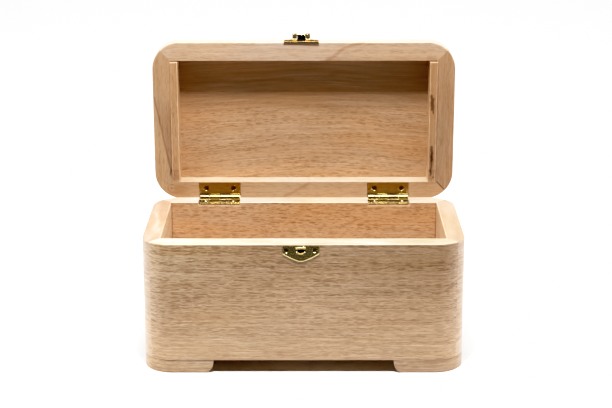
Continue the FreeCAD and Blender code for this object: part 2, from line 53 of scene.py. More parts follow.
class Tree:
    """A material's nodes, written as expressions."""

    def __init__(self, name):
        self.mat = bpy.data.materials.new(name)
        self.mat.use_nodes = True
        self.t = self.mat.node_tree
        self.t.nodes.clear()
        self.out = self.t.nodes.new("ShaderNodeOutputMaterial")
        self.bsdf = self.t.nodes.new("ShaderNodeBsdfPrincipled")
        self.t.links.new(self.bsdf.outputs[0], self.out.inputs[0])

    def put(self, sock, v):
        if is_socket(v):
            self.t.links.new(v, sock)
        elif v is not None:
            sock.default_value = v

    def math(self, op, a, b=None, c=None, clamp=False):
        n = self.t.nodes.new("ShaderNodeMath")
        n.operation = op
        n.use_clamp = clamp
        for i, v in enumerate((a, b, c)):
            self.put(n.inputs[i], v)
        return n.outputs[0]

    def add(self, *v):
        r = v[0]
        for k in v[1:]:
            r = self.math("ADD", r, k)
        return r

    def mul(self, *v):
        r = v[0]
        for k in v[1:]:
            r = self.math("MULTIPLY", r, k)
        return r

    def vmath(self, op, a, b=None):
        n = self.t.nodes.new("ShaderNodeVectorMath")
        n.operation = op
        self.put(n.inputs[0], a)
        if op == "SCALE":
            self.put(n.inputs[3], b)
        else:
            self.put(n.inputs[1], b)
        return n.outputs[1] if op in ("LENGTH", "DOT_PRODUCT", "DISTANCE") else n.outputs[0]

    def split(self, v):
        n = self.t.nodes.new("ShaderNodeSeparateXYZ")
        self.put(n.inputs[0], v)
        return n.outputs[0], n.outputs[1], n.outputs[2]

    def join(self, x, y, z):
        n = self.t.nodes.new("ShaderNodeCombineXYZ")
        for i, v in enumerate((x, y, z)):
            self.put(n.inputs[i], v)
        return n.outputs[0]

    def object_mm(self):
        n = self.t.nodes.new("ShaderNodeTexCoord")
        return self.vmath("SCALE", n.outputs["Object"], 1000.0)

    def noise(self, v, detail=2.0, rough=0.5, scale=1.0):
        n = self.t.nodes.new("ShaderNodeTexNoise")
        n.noise_dimensions = "3D"
        self.put(n.inputs["Vector"], v)
        n.inputs["Scale"].default_value = scale
        n.inputs["Detail"].default_value = detail
        n.inputs["Roughness"].default_value = rough
        return n.outputs[0], n.outputs[1]

    def cells(self, v):
        n = self.t.nodes.new("ShaderNodeTexVoronoi")
        n.voronoi_dimensions = "2D"
        n.feature = "F1"
        self.put(n.inputs["Vector"], v)
        n.inputs["Scale"].default_value = 1.0
        n.inputs["Randomness"].default_value = 1.0
        return n.outputs["Distance"], n.outputs["Color"]

    def ramp(self, x, lo, hi, a=0.0, b=1.0, smooth=True):
        n = self.t.nodes.new("ShaderNodeMapRange")
        n.interpolation_type = "SMOOTHSTEP" if smooth else "LINEAR"
        n.clamp = True
        self.put(n.inputs["Value"], x)
        for k, v in (("From Min", lo), ("From Max", hi), ("To Min", a), ("To Max", b)):
            n.inputs[k].default_value = v
        return n.outputs["Result"]

    def mix(self, f, a, b, mode="MIX"):
        n = self.t.nodes.new("ShaderNodeMix")
        n.data_type = "RGBA"
        n.blend_type = mode
        n.clamp_factor = True
        self.put(n.inputs[0], f)
        self.put(n.inputs[6], a if is_socket(a) else tuple(a) + (1.0,))
        self.put(n.inputs[7], b if is_socket(b) else tuple(b) + (1.0,))
        return n.outputs[2]

    def bump(self, h, strength, distance):
        n = self.t.nodes.new("ShaderNodeBump")
        n.inputs["Strength"].default_value = strength
        n.inputs["Distance"].default_value = distance
        self.put(n.inputs["Height"], h)
        return n.outputs[0]

    # -------- masks in a plane, millimetres
    def streak(self, u, v, p0, p1, w, soft):
        """1 near the line from p0 to p1, fading out over soft beyond half width w."""
        ex, ey = p1[0] - p0[0], p1[1] - p0[1]
        l2 = ex * ex + ey * ey
        du, dv = self.math("SUBTRACT", u, p0[0]), self.math("SUBTRACT", v, p0[1])
        s = self.math("MULTIPLY", self.add(self.mul(du, ex), self.mul(dv, ey)), 1.0 / l2, clamp=True)
        dx = self.math("SUBTRACT", du, self.mul(s, ex))
        dy = self.math("SUBTRACT", dv, self.mul(s, ey))
        d = self.math("SQRT", self.add(self.mul(dx, dx), self.mul(dy, dy)))
        return self.ramp(d, w, w + soft, 1.0, 0.0)

    def blob(self, u, v, c, r, turn=0.0, core=0.2):
        """1 inside an ellipse, fading to 0 at its edge."""
        ca, sa = math.cos(math.radians(turn)), math.sin(math.radians(turn))
        du, dv = self.math("SUBTRACT", u, c[0]), self.math("SUBTRACT", v, c[1])
        p = self.math("DIVIDE", self.add(self.mul(du, ca), self.mul(dv, sa)), r[0])
        q = self.math("DIVIDE", self.math("SUBTRACT", self.mul(dv, ca), self.mul(du, sa)), r[1])
        d = self.math("SQRT", self.add(self.mul(p, p), self.mul(q, q)))
        return self.ramp(d, core, 1.0, 1.0, 0.0)


def shade(t, mask, col, k):
    """multiply col by the factors k where mask is 1"""
    return t.mix(mask, col, t.mix(1.0, col, k, "MULTIPLY"))


# ------------------------------------------------------------------ beech
def beech(name, grain, tone, seed=0.0, fleck=1.0, cell=(9.5, 1.35), small=(5.2, 0.95), keep=0.10, slant=0.0, wave=1.3,
          lines=0.30, fibre=0.36, blotch=0.10, pale=0.22, rough=0.40, marks=None, dens=None, bend=None, wrap=None, deep=1.0,
          dark=(0.42, 0.27, 0.125), hue=1.0, crisp=1.0, gather=0.72):
    """Sanded beech. Slow bands and fine fibres run along the grain axis; short dark ray dashes of two sizes lie in
    rows along it; marks adds what is particular to one piece."""
    t = Tree(name)
    obj = t.object_mm()
    x, y, z = t.split(obj)
    if grain == "X":
        g, a, b = x, z, y
    elif grain == "Y":
        g, a, b = y, z, x
    else:
        g, a, b = z, x, y
    if slant:
        a = t.add(a, t.mul(g, slant))
    if bend:
        a = t.add(a, bend(t, x, y, z))
    if wrap:
        g = t.add(g, wrap(t, x, y, z))
    # the figure goes deep into the board, so that it runs on round a rounded corner
    p = t.vmath("ADD", t.join(g, a, t.mul(b, deep)), (seed * 37.1, seed * 17.3, seed * 23.7))
    # slow waviness of the grain, then a small unrest of single fibres
    _, wc = t.noise(t.vmath("MULTIPLY", p, (0.011, 0.03, 0.03)), 2.0)
    _, wf = t.noise(t.vmath("MULTIPLY", p, (0.05, 0.10, 0.10)), 2.0)
    half = (0.5, 0.5, 0.5)
    p = t.vmath("ADD", p, t.vmath("MULTIPLY", t.vmath("SUBTRACT", wc, half), (0.0, wave * 2, wave * 2)))
    p = t.vmath("ADD", p, t.vmath("MULTIPLY", t.vmath("SUBTRACT", wf, half), (0.0, 0.6, 0.6)))
    pg, pa, pb = t.split(p)
    # rays run into the depth of the wood: the dashes are drawn in the plane across it
    ps = t.add(pa, t.mul(pb, 0.35))
    s1, _ = t.noise(t.vmath("MULTIPLY", p, (0.005, 0.38, 0.38)), 3.0, 0.6)
    s2, _ = t.noise(t.vmath("MULTIPLY", p, (0.03, 1.15, 1.15)), 2.0, 0.6)
    s3, _ = t.noise(t.vmath("MULTIPLY", p, (0.16, 1.45, 0.6)), 1.0, 0.5)

    def dashes(ln, th, shift, lo, gain, low):
        d, c = t.cells(t.join(t.math("DIVIDE", t.add(pg, shift), ln), t.math("DIVIDE", t.add(ps, shift * 1.7), th), 0.0))
        r, gg, bb = t.split(c)
        size = t.add(t.mul(r, 0.26), 0.18)
        m = t.math("MULTIPLY", t.math("SUBTRACT", size, d), gain, clamp=True)
        return t.mul(m, t.ramp(gg, lo, 0.85, low, 1.0))

    m1 = dashes(cell[0], cell[1], 3.0, keep, 11.0 * crisp, 0.0)
    m2 = dashes(small[0], small[1], 40.0, keep, 10.0 * crisp, 0.0)
    m3 = t.ramp(s3, 0.53, 0.66, 0.0, 0.9)
    n3, _ = t.noise(t.vmath("MULTIPLY", p, (0.014, 0.05, 0.05)), 2.0)
    d3 = t.ramp(n3, 0.30, 0.66, gather, 1.0)
    # the dashes gather in rows
    d3 = t.mul(d3, t.ramp(s1, 0.40, 0.60, 1.0, 0.58))
    if dens:
        d3 = t.mul(d3, dens(t, x, y, z))
    flecks = t.mul(t.math("MAXIMUM", t.math("MAXIMUM", m1, t.mul(m2, 0.8)), m3), d3)
    # brightness
    v = t.add(1.0, t.mul(t.math("SUBTRACT", s1, 0.5), lines * 2.4), t.mul(t.math("SUBTRACT", s2, 0.5), fibre * 2.6))
    n4, _ = t.noise(t.vmath("MULTIPLY", p, (0.009, 0.016, 0.016)), 1.0)
    v = t.add(v, t.mul(t.math("SUBTRACT", n4, 0.5), blotch * 2.0), t.mul(t.ramp(s2, 0.60, 0.76), pale))
    warm = tuple(min(1.0, c * k ** hue) for c, k in zip(tone, (1.03, 0.965, 0.87)))
    cool = tuple(min(1.0, c * k ** hue) for c, k in zip(tone, (0.97, 1.025, 1.09)))
    n5, _ = t.noise(t.vmath("MULTIPLY", t.vmath("ADD", p, (91.0, 40.0, 12.0)), (0.012, 0.06, 0.06)), 2.0)
    col = t.mix(t.ramp(n5, 0.3, 0.7), cool, warm)
    # darker wood is also the warmer wood
    col = t.mix(1.0, col, t.join(v, t.math("POWER", v, 1.2), t.math("POWER", v, 1.7)), "MULTIPLY")
    col = t.mix(t.mul(flecks, fleck), col, tuple(c * k for c, k in zip(tone, dark)))
    if marks:
        col = marks(t, col, x, y, z)
    h = t.math("SUBTRACT", t.mul(s2, 0.6), t.mul(flecks, 0.8))
    t.put(t.bsdf.inputs["Base Color"], col)
    t.put(t.bsdf.inputs["Roughness"], t.add(rough - 0.05, t.mul(s2, 0.12)))
    t.bsdf.inputs["Specular IOR Level"].default_value = 0.45
    t.put(t.bsdf.inputs["Normal"], t.bump(h, 0.30, 0.00010))
    return t.mat


# ------------------------------------------------------------------ brass and steel
def brass(name, tone, rough=0.2, seed=0.0, tarnish=0.35, marks=None, edge=(1.0, 1.0, 1.0), dents=0.08):
    t = Tree(name)
    obj = t.object_mm()
    p = t.vmath("ADD", obj, (seed * 13.0, seed * 7.0, seed * 5.0))
    n1, _ = t.noise(t.vmath("MULTIPLY", p, (0.35, 0.35, 0.35)), 3.0, 0.6)
    n2, _ = t.noise(t.vmath("MULTIPLY", p, (0.6, 5.0, 5.0)), 2.0, 0.6)
    n3, _ = t.noise(t.vmath("MULTIPLY", p, (2.6, 2.6, 2.6)), 2.0, 0.6)
    dull = tuple(c * k for c, k in zip(tone, (0.66, 0.58, 0.42)))
    col = t.mix(t.mul(t.ramp(n1, 0.45, 0.72), tarnish), tone, dull)
    if marks:
        col = marks(t, col, *t.split(obj))
    t.put(t.bsdf.inputs["Base Color"], col)
    t.bsdf.inputs["Metallic"].default_value = 1.0
    t.bsdf.inputs["Specular Tint"].default_value = tuple(edge) + (1.0,)
    r = t.add(rough - 0.05, t.mul(n2, 0.08))
    t.put(t.bsdf.inputs["Roughness"], t.add(r, t.mul(n1, 0.05)))
    t.put(t.bsdf.inputs["Normal"], t.bump(n3, dents, 0.00004))
    return t.mat


def black_steel_and_shade(name):
    # a blackened steel part, painted near black with almost no sheen so that it also stands for the shade between the
    # ears of the latch
    t = Tree(name)
    p = t.object_mm()
    n1, _ = t.noise(t.vmath("MULTIPLY", p, (1.2, 1.2, 1.2)), 3.0, 0.6)
    t.put(t.bsdf.inputs["Base Color"], t.mix(n1, (0.003, 0.003, 0.0035), (0.010, 0.009, 0.008)))
    t.put(t.bsdf.inputs["Roughness"], t.add(0.5, t.mul(n1, 0.2)))
    t.bsdf.inputs["Specular IOR Level"].default_value = 0.03
    t.put(t.bsdf.inputs["Normal"], t.bump(n1, 0.2, 0.00005))
    return t.mat


# ------------------------------------------------------------------ what is particular to each piece
def uneasy(t, u, v, amount, scale=0.12):
    """two coordinates shaken a little, so that marks don't look ruled"""
    _, c = t.noise(t.vmath("MULTIPLY", t.join(u, v, 0.0), (scale, scale, scale)), 2.0)
    r, g, _ = t.split(c)
    return (t.add(u, t.mul(t.math("SUBTRACT", r, 0.5), amount)), t.add(v, t.mul(t.math("SUBTRACT", g, 0.5), amount)))


# colour factors of the painted shade on the underside
UNDER = (0.90, 0.78, 0.62)


def rim(t, col, z, k, lo=91.75, hi=92.1):
    """painted light on the upper edge: its top face is painted with the factors k, mostly paler than the faces"""
    return shade(t, t.ramp(z, lo, hi), col, k)


def under(t, col, z, lo=9.25, hi=9.7):
    """painted shade: the underside and the lowest edge are darker and browner"""
    return shade(t, t.ramp(z, lo, hi, 1.0, 0.0), col, UNDER)


def front_marks(t, col, x, y, z):
    # greyer towards the top, warmer towards the bottom
    col = shade(t, t.ramp(z, 40.0, 88.0), col, (0.97, 0.99, 1.02))
    col = shade(t, t.ramp(z, 44.0, 32.0), col, (0.97, 0.94, 0.89))
    u, v = uneasy(t, x, z, 6.0, 0.05)
    # painted shade towards the upper right of the front, painted light towards its upper left
    top = t.ramp(z, 22.0, 86.0, 0.25, 1.0)
    col = shade(t, t.mul(t.ramp(x, -10.0, 105.0), top), col, (0.84, 0.79, 0.72))
    col = shade(t, t.mul(t.ramp(x, -20.0, -100.0), t.ramp(z, 50.0, 86.0)), col, (1.25, 1.30, 1.31))
    col = shade(t, t.mul(t.blob(u, v, (-62.0, 40.0), (34.0, 9.0)), 0.7), col, (1.0, 0.95, 0.85))
    # painted light on the top edge, painted shade on the underside
    return under(t, rim(t, col, z, (1.20, 1.50, 1.90)), z)


def front_wrap(t, x, y, z):
    # length along the grain, measured round the outside of the rounded corners
    m = t.mul(t.ramp(t.math("ABSOLUTE", x), 78.0, 92.0), t.ramp(y, -56.0, -60.0))
    return t.mul(t.math("SIGN", x), m, 0.6, t.add(y, 66.87))


def back_wrap(t, x, y, z):
    m = t.mul(t.ramp(t.math("ABSOLUTE", x), 78.0, 92.0), t.ramp(y, 38.0, 43.0))
    return t.mul(t.math("SIGN", x), m, 0.6, t.math("SUBTRACT", 50.13, y))


def wall_dens(t, x, y, z):
    # the upper edge is cut along the rays and hardly shows them
    return t.ramp(z, 91.4, 91.9, 1.0, 0.12)


def front_dens(t, x, y, z):
    return t.mul(t.ramp(z, 12.0, 60.0, 0.62, 1.0), wall_dens(t, x, y, z))


def back_wall_marks(t, col, x, y, z):
    ax = t.math("ABSOLUTE", x)
    face = t.ramp(y, 36.2, 36.4, 1.0, 0.0)
    col = shade(t, t.mul(face, t.ramp(ax, 96.2, 97.1)), col, (0.55, 0.45, 0.36))
    # fresh wood along the lower edge of the leaf recesses
    low = t.mul(t.ramp(z, 88.3, 88.9), t.ramp(t.math("ABSOLUTE", t.math("SUBTRACT", ax, 62.2)), 15.2, 16.2, 1.0, 0.0))
    col = shade(t, t.mul(face, low), col, (1.30, 1.42, 1.60))
    col = shade(t, t.mul(t.blob(x, z, (-5.0, 86.0), (45.0, 12.0)), 0.7), col, (0.96, 0.90, 0.80))
    # outside as grey as the front
    col = shade(t, t.mul(t.ramp(y, 44.0, 48.0), t.ramp(z, 91.2, 91.75, 1.0, 0.0)), col, (0.74, 0.79, 0.84))
    # painted light on the top edge, painted shade on the underside
    return under(t, rim(t, col, z, (0.94, 1.18, 1.60)), z)


def side_marks(t, col, x, z, inner, edge):
    # painted light: the inner faces are painted a little brighter than the outer ones
    ax = t.math("ABSOLUTE", x)
    col = shade(t, t.ramp(ax, 97.3, 98.2, 1.0, 0.0), col, inner)
    # painted light on the top edge, painted shade on the underside
    return under(t, rim(t, col, z, edge), z)


def left_marks(t, col, x, y, z):
    return side_marks(t, col, x, z, (1.55, 1.70, 1.84), (0.86, 0.73, 0.71))


def right_marks(t, col, x, y, z):
    return side_marks(t, col, x, z, (1.64, 1.80, 2.03), (0.99, 0.98, 1.08))


def bottom_marks(t, col, x, y, z):
    # painted shade on the underside of the bottom panel
    return shade(t, t.ramp(z, 14.2, 15.0, 1.0, 0.0), col, UNDER)


def foot_marks(t, col, x, y, z):
    ax = t.math("ABSOLUTE", x)
    # glue line, showing more on the left
    seam = t.mul(t.ramp(z, 8.2, 8.8), t.ramp(ax, 92.0, 100.0, 1.0, 0.2))
    col = shade(t, t.mul(seam, t.ramp(x, -40.0, 40.0, 1.0, 0.35)), col, (0.42, 0.32, 0.24))
    # painted contact shadow along the bottom of the foot
    return shade(t, t.ramp(z, 0.15, 0.7, 1.0, 0.0), col, (0.6, 0.5, 0.4))


def on_rim(t, y, plain, col):
    """marks that belong to the sanded rim of the lid fade out a little way into the wood"""
    return t.mix(t.ramp(y, 49.9, 51.6, 1.0, 0.0), plain, col)


def lid_front_marks(t, col, x, y, z):
    plain = col
    u, v = uneasy(t, x, z, 1.2)
    m = t.math("MAXIMUM", t.streak(u, v, (17.0, 194.9), (29.8, 204.2), 0.5, 1.5),
               t.streak(u, v, (29.8, 204.2), (43.0, 208.7), 0.4, 1.5))
    col = shade(t, t.mul(m, 0.85), col, (0.74, 0.64, 0.55))
    # the wood right of that curve is a little browner
    w = t.ramp(t.math("SUBTRACT", v, t.mul(u, 0.62)), 178.0, 188.0, 1.0, 0.0)
    col = shade(t, t.mul(w, 0.75), col, (0.93, 0.90, 0.84))
    col = shade(t, t.mul(t.ramp(x, 8.0, 22.0), t.ramp(z, 195.0, 199.0, 1.0, 0.0)), col, (0.88, 0.83, 0.77))
    # painted shadow of the latch plate's lip on the wood under it, wider on the right
    low = t.math("SUBTRACT", z, t.ramp(x, -8.0, 8.0, 205.85, 205.25))
    lip_shadow = t.mul(t.ramp(low, 0.0, 0.6), t.ramp(t.math("ABSOLUTE", t.add(x, 1.8)), 12.4, 13.4, 1.0, 0.0))
    col = shade(t, t.mul(lip_shadow, t.ramp(z, 207.0, 207.4, 1.0, 0.0)), col, (0.36, 0.28, 0.20))
    return on_rim(t, y, plain, col)


def lid_back_marks(t, col, x, y, z):
    u, v = uneasy(t, x, z, 1.5)
    d = t.math("SQRT", t.add(t.mul(t.math("SUBTRACT", u, -97.7), t.math("SUBTRACT", u, -97.7)),
                             t.mul(t.math("SUBTRACT", v, 99.5), t.math("SUBTRACT", v, 99.5))))
    ring = t.mul(t.ramp(t.math("SINE", t.mul(d, 2.6)), 0.0, 1.0), t.ramp(d, 3.0, 5.0, 1.0, 0.0))
    col = shade(t, t.ramp(x, -74.0, -90.0), col, (0.86, 0.82, 0.76))
    col = shade(t, t.ramp(x, 74.0, 90.0), col, (0.87, 0.84, 0.80))
    ring = t.mul(ring, t.ramp(t.math("SUBTRACT", u, t.mul(v, 0.4)), -138.5, -135.5, 1.0, 0.25))
    col = shade(t, t.mul(ring, 0.85), col, (0.72, 0.59, 0.47))
    col = shade(t, t.mul(t.blob(u, v, (-91.5, 98.0), (6.5, 6.0)), 0.7), col, (0.85, 0.74, 0.60))
    col = shade(t, t.mul(t.streak(u, v, (3.8, 103.0), (-14.0, 93.2), 0.35, 1.5), 0.7), col, (0.80, 0.70, 0.60))
    # painted light on the ledge at the top of the lid's back wall
    return rim(t, col, z, (1.22, 1.40, 1.70), 103.85, 104.0)


def mitre_line(t, col, x, z, p0, p1):
    return shade(t, t.streak(x, z, p0, p1, 0.16, 0.40), col, (0.32, 0.23, 0.16))


def lid_left_marks(t, col, x, y, z):
    plain = col
    u, v = uneasy(t, x, z, 1.2)
    # darker heart side right of a slanting line
    s = t.math("SUBTRACT", u, t.add(-108.4, t.mul(t.math("SUBTRACT", 166.0, v), 0.1897)))
    low = t.ramp(v, 148.0, 168.0, 1.0, 0.0)
    col = shade(t, t.mul(t.ramp(s, -0.4, 0.6), low), col, (0.84, 0.79, 0.74))
    col = shade(t, t.mul(t.ramp(s, -0.6, 0.0, 1.0, 0.0), low), col, (1.07, 1.10, 1.10))
    col = shade(t, t.mul(t.ramp(v, 150.0, 176.0), t.ramp(x, -108.5, -103.5, 0.15, 1.0)), col, (1.05, 1.07, 1.10))
    col = shade(t, t.mul(t.streak(u, v, (-108.9, 168.0), (-98.2, 112.5), 0.2, 0.8), 0.85), col, (0.64, 0.52, 0.44))
    col = shade(t, t.blob(u, v, (-98.3, 111.6), (1.2, 4.6), -8.0), col, (0.42, 0.31, 0.25))
    return on_rim(t, y, plain, col)


def lid_right_marks(t, col, x, y, z):
    col = shade(t, t.ramp(z, 164.0, 186.0), col, (1.06, 1.13, 1.22))
    return mitre_line(t, col, x, z, (98.2, 104.3), (103.4, 98.7))


def batten_side(t, col, x):
    """painted light: the inner long faces are painted paler"""
    return shade(t, t.ramp(t.math("ABSOLUTE", x), 91.75, 92.2, 1.0, 0.0), col, (1.60, 1.85, 2.15))


def batten_end(t, col, z):
    """painted light: the run-out at the foot of a batten, which turns away from the light, is painted paler"""
    return shade(t, t.ramp(z, 113.2, 112.4), col, (1.25, 1.30, 1.36))


def batten_left_marks(t, col, x, y, z):
    return batten_side(t, batten_end(t, col, z), x)


def batten_right_marks(t, col, x, y, z):
    u, v = uneasy(t, x, z, 2.0, 0.32)
    k = (0.30, 0.20, 0.13)
    col = batten_end(t, col, z)
    # painted highlight along the outer edge of the batten
    col = shade(t, t.ramp(x, 96.2, 96.5), col, (1.30, 1.42, 1.60))
    col = shade(t, t.mul(t.blob(u, v, (93.6, 164.0), (2.6, 8.5)), 0.6), col, (0.72, 0.62, 0.52))
    col = shade(t, t.mul(t.blob(u, v, (93.6, 120.0), (2.6, 12.0)), 0.6), col, (0.72, 0.62, 0.52))
    col = shade(t, t.mul(t.streak(u, v, (92.9, 169.5), (93.1, 159.0), 0.30, 1.1), 0.9), col, k)
    col = shade(t, t.mul(t.streak(u, v, (94.3, 167.0), (94.6, 156.5), 0.20, 0.9), 0.85), col, k)
    col = shade(t, t.mul(t.streak(u, v, (93.6, 131.0), (94.1, 121.0), 0.35, 1.2), 0.95), col, k)
    col = shade(t, t.mul(t.streak(u, v, (93.9, 126.5), (93.4, 110.0), 0.25, 0.9), 0.8), col, k)
    col = shade(t, t.mul(t.blob(u, v, (93.2, 113.0), (0.9, 3.0)), 0.9), col, k)
    col = shade(t, t.mul(t.blob(u, v, (95.2, 107.8), (0.9, 1.4)), 0.7), col, k)
    return batten_side(t, col, x)


def hinge_marks(t, col, x, y, z):
    # painted shade: the crown of the barrel is painted darker to dim its highlight, and the countersinks are painted
    # brown
    dy, dz = t.math("SUBTRACT", y, 49.1925), t.math("SUBTRACT", z, 92.275)
    r = t.math("SQRT", t.add(t.mul(dy, dy), t.mul(dz, dz)))
    col = shade(t, t.mul(t.ramp(r, 2.3, 2.45, 1.0, 0.0), t.ramp(dz, 0.9, 1.8)), col, (0.36, 0.36, 0.44))
    ax = t.math("ABSOLUTE", x)
    sink = t.math("MAXIMUM", t.blob(ax, z, (72.3, 98.88), (2.05, 2.05), 0.0, 0.93), t.blob(ax, z, (52.1, 98.88), (2.05, 2.05), 0.0, 0.93))
    return shade(t, t.mul(sink, t.ramp(y, 50.66, 50.72)), col, (0.36, 0.28, 0.18))


def catch_marks(t, col, x, y, z):
    # lacquered face; painted shade makes the cut edges and the countersinks darker, and a painted highlight makes the
    # mouth of the slot pale
    col = shade(t, t.ramp(y, -67.68, -67.64, 1.0, 0.0), col, (1.0, 0.96, 0.74))
    side = t.ramp(y, -67.66, -67.60)
    slot = t.mul(t.ramp(t.math("ABSOLUTE", t.add(x, 1.8)), 3.4, 3.7, 1.0, 0.0), t.ramp(z, 84.0, 84.3))
    sink = t.math("MAXIMUM", t.blob(x, z, (-11.3, 88.45), (2.1, 2.1), 0.0, 0.88), t.blob(x, z, (7.7, 88.45), (2.1, 2.1), 0.0, 0.88))
    rest = t.math("SUBTRACT", 1.0, t.math("MAXIMUM", slot, sink))
    col = shade(t, t.mul(side, rest), col, (0.62, 0.57, 0.46))
    col = shade(t, t.mul(side, sink), col, (0.40, 0.31, 0.20))
    col = shade(t, t.mul(side, slot), col, (1.15, 1.30, 1.90))
    # painted shade: the top of the lug is painted a deep gold, its rolled front less so
    top = t.mul(t.ramp(y, -68.1, -67.8, 1.0, 0.0), t.ramp(z, 90.75, 90.95))
    front = t.ramp(y, -69.95, -69.75, 1.0, 0.0)
    col = shade(t, t.mul(top, t.math("SUBTRACT", 1.0, front)), col, (0.24, 0.16, 0.05))
    return shade(t, t.mul(top, front), col, (0.46, 0.38, 0.24))


def latch_plate_marks(t, col, x, y, z):
    # painted light and shade: the lip and the front of the ears are painted bright, the flat a dark gold, the bends
    # and corners brown
    col = shade(t, t.ramp(z, 208.45, 208.6, 1.0, 0.0), col, (1.50, 1.22, 1.35))
    col = shade(t, t.mul(t.ramp(z, 208.45, 208.6), t.ramp(z, 208.98, 209.08, 1.0, 0.0)), col, (0.045, 0.034, 0.020))
    col = shade(t, t.mul(t.ramp(z, 208.98, 209.08), t.ramp(z, 209.2, 209.4, 1.0, 0.0)), col, (0.25, 0.17, 0.018))
    col = shade(t, t.mul(t.ramp(z, 209.2, 209.4), t.ramp(z, 210.5, 211.0, 1.0, 0.0)), col, (0.055, 0.046, 0.036))
    col = shade(t, t.mul(t.ramp(z, 210.5, 211.0), t.ramp(z, 212.6, 213.2, 1.0, 0.0)), col, (1.40, 1.40, 1.55))
    return shade(t, t.ramp(z, 212.6, 213.4), col, (0.34, 0.28, 0.20))


def lever_marks(t, col, x, y, z):
    # painted shade: brown where the barrel turns between the ears
    return shade(t, t.mul(t.ramp(z, 211.4, 211.8), t.ramp(y, 57.2, 57.8, 1.0, 0.0)), col, (0.15, 0.125, 0.11))


def panel_inside(t, y):
    """1 on the face that looks into the box, 0 on the outside of the lid"""
    return t.ramp(y, 63.3, 63.8, 1.0, 0.0)


def panel_dens(t, x, y, z):
    return t.math("SUBTRACT", 1.0, t.mul(t.ramp(z, 148.0, 172.0, 0.0, 0.75), panel_inside(t, y)))


def panel_bend(t, x, y, z):
    # the figure of the panel rises in a flat arch, most of all in its lower half
    d = t.math("SUBTRACT", x, 12.0)
    arch = t.math("SUBTRACT", t.math("SQRT", t.add(t.mul(d, d), 900.0)), 30.0)
    return t.mul(arch, t.ramp(z, 178.0, 112.0, 0.05, 0.11))


def panel_marks(t, col, x, y, z):
    plain = col
    u, v = uneasy(t, x, z, 9.0, 0.03)
    # painted shade: the upper third is browner, and darker again just below the shadow of the lid's front wall, at the
    # sides and towards the right
    col = shade(t, t.ramp(t.add(z, t.mul(t.math("SUBTRACT", v, z), 0.25)), 146.0, 166.0), col, (0.86, 0.83, 0.80))
    col = shade(t, t.mul(t.ramp(z, 152.0, 163.0), t.ramp(z, 167.6, 169.4, 1.0, 0.0)), col, (0.78, 0.78, 0.78))
    col = shade(t, t.mul(t.ramp(t.math("ABSOLUTE", x), 52.0, 88.0), t.ramp(z, 168.5, 171.5, 1.0, 0.0)), col, (0.91, 0.88, 0.84))
    # where the cast shadow falls the panel is painted a little lighter again
    col = shade(t, t.ramp(z, 167.6, 169.4), col, (1.05, 1.08, 1.05))
    col = shade(t, t.mul(t.ramp(z, 162.5, 166.0), t.ramp(z, 167.6, 169.4, 1.0, 0.0)), col, (0.80, 0.77, 0.73))
    col = shade(t, t.mul(t.ramp(x, 30.0, 80.0), t.ramp(z, 160.0, 166.0)), col, (0.88, 0.84, 0.79))
    # painted light: the lower part is paler, less so at the sides
    col = shade(t, t.mul(t.ramp(z, 126.0, 108.0), t.ramp(t.math("ABSOLUTE", x), 50.0, 88.0, 1.0, 0.3)), col, (1.13, 1.12, 1.11))
    # slow darker bands of the grain
    col = shade(t, t.mul(t.streak(u, v, (20.0, 181.0), (92.0, 180.0), 0.4, 2.2), 0.45), col, (0.80, 0.70, 0.58))
    col = shade(t, t.mul(t.streak(u, v, (-92.0, 176.0), (-10.0, 178.0), 0.4, 2.4), 0.4), col, (0.80, 0.70, 0.58))
    col = shade(t, t.mul(t.streak(u, v, (10.0, 160.0), (92.0, 143.0), 0.3, 3.0), 0.35), col, (0.84, 0.76, 0.66))
    col = shade(t, t.mul(t.streak(u, v, (-92.0, 160.5), (40.0, 158.0), 0.3, 1.6), 0.30), col, (0.84, 0.76, 0.66))
    # the outside of the lid is as pale as the lid walls
    plain = t.mix(1.0, plain, (0.97, 1.09, 1.30), "MULTIPLY")
    return t.mix(panel_inside(t, y), plain, col)


# ------------------------------------------------------------------ materials on the nodes
FRONT = (0.344, 0.218, 0.119)
SIDE_L = (0.362, 0.229, 0.135)
SIDE_R = (0.322, 0.199, 0.112)
INNER = (0.495, 0.296, 0.157)
LID_F = (0.430, 0.295, 0.205)
LID_B = (0.408, 0.255, 0.144)
LID_L = (0.326, 0.199, 0.110)
LID_R = (0.277, 0.157, 0.080)
BAT_L = (0.365, 0.195, 0.090)
BAT_R = (0.290, 0.162, 0.079)
PANEL = (0.428, 0.256, 0.138)
FOOT_L = (0.325, 0.206, 0.109)
FOOT_R = (0.272, 0.164, 0.084)

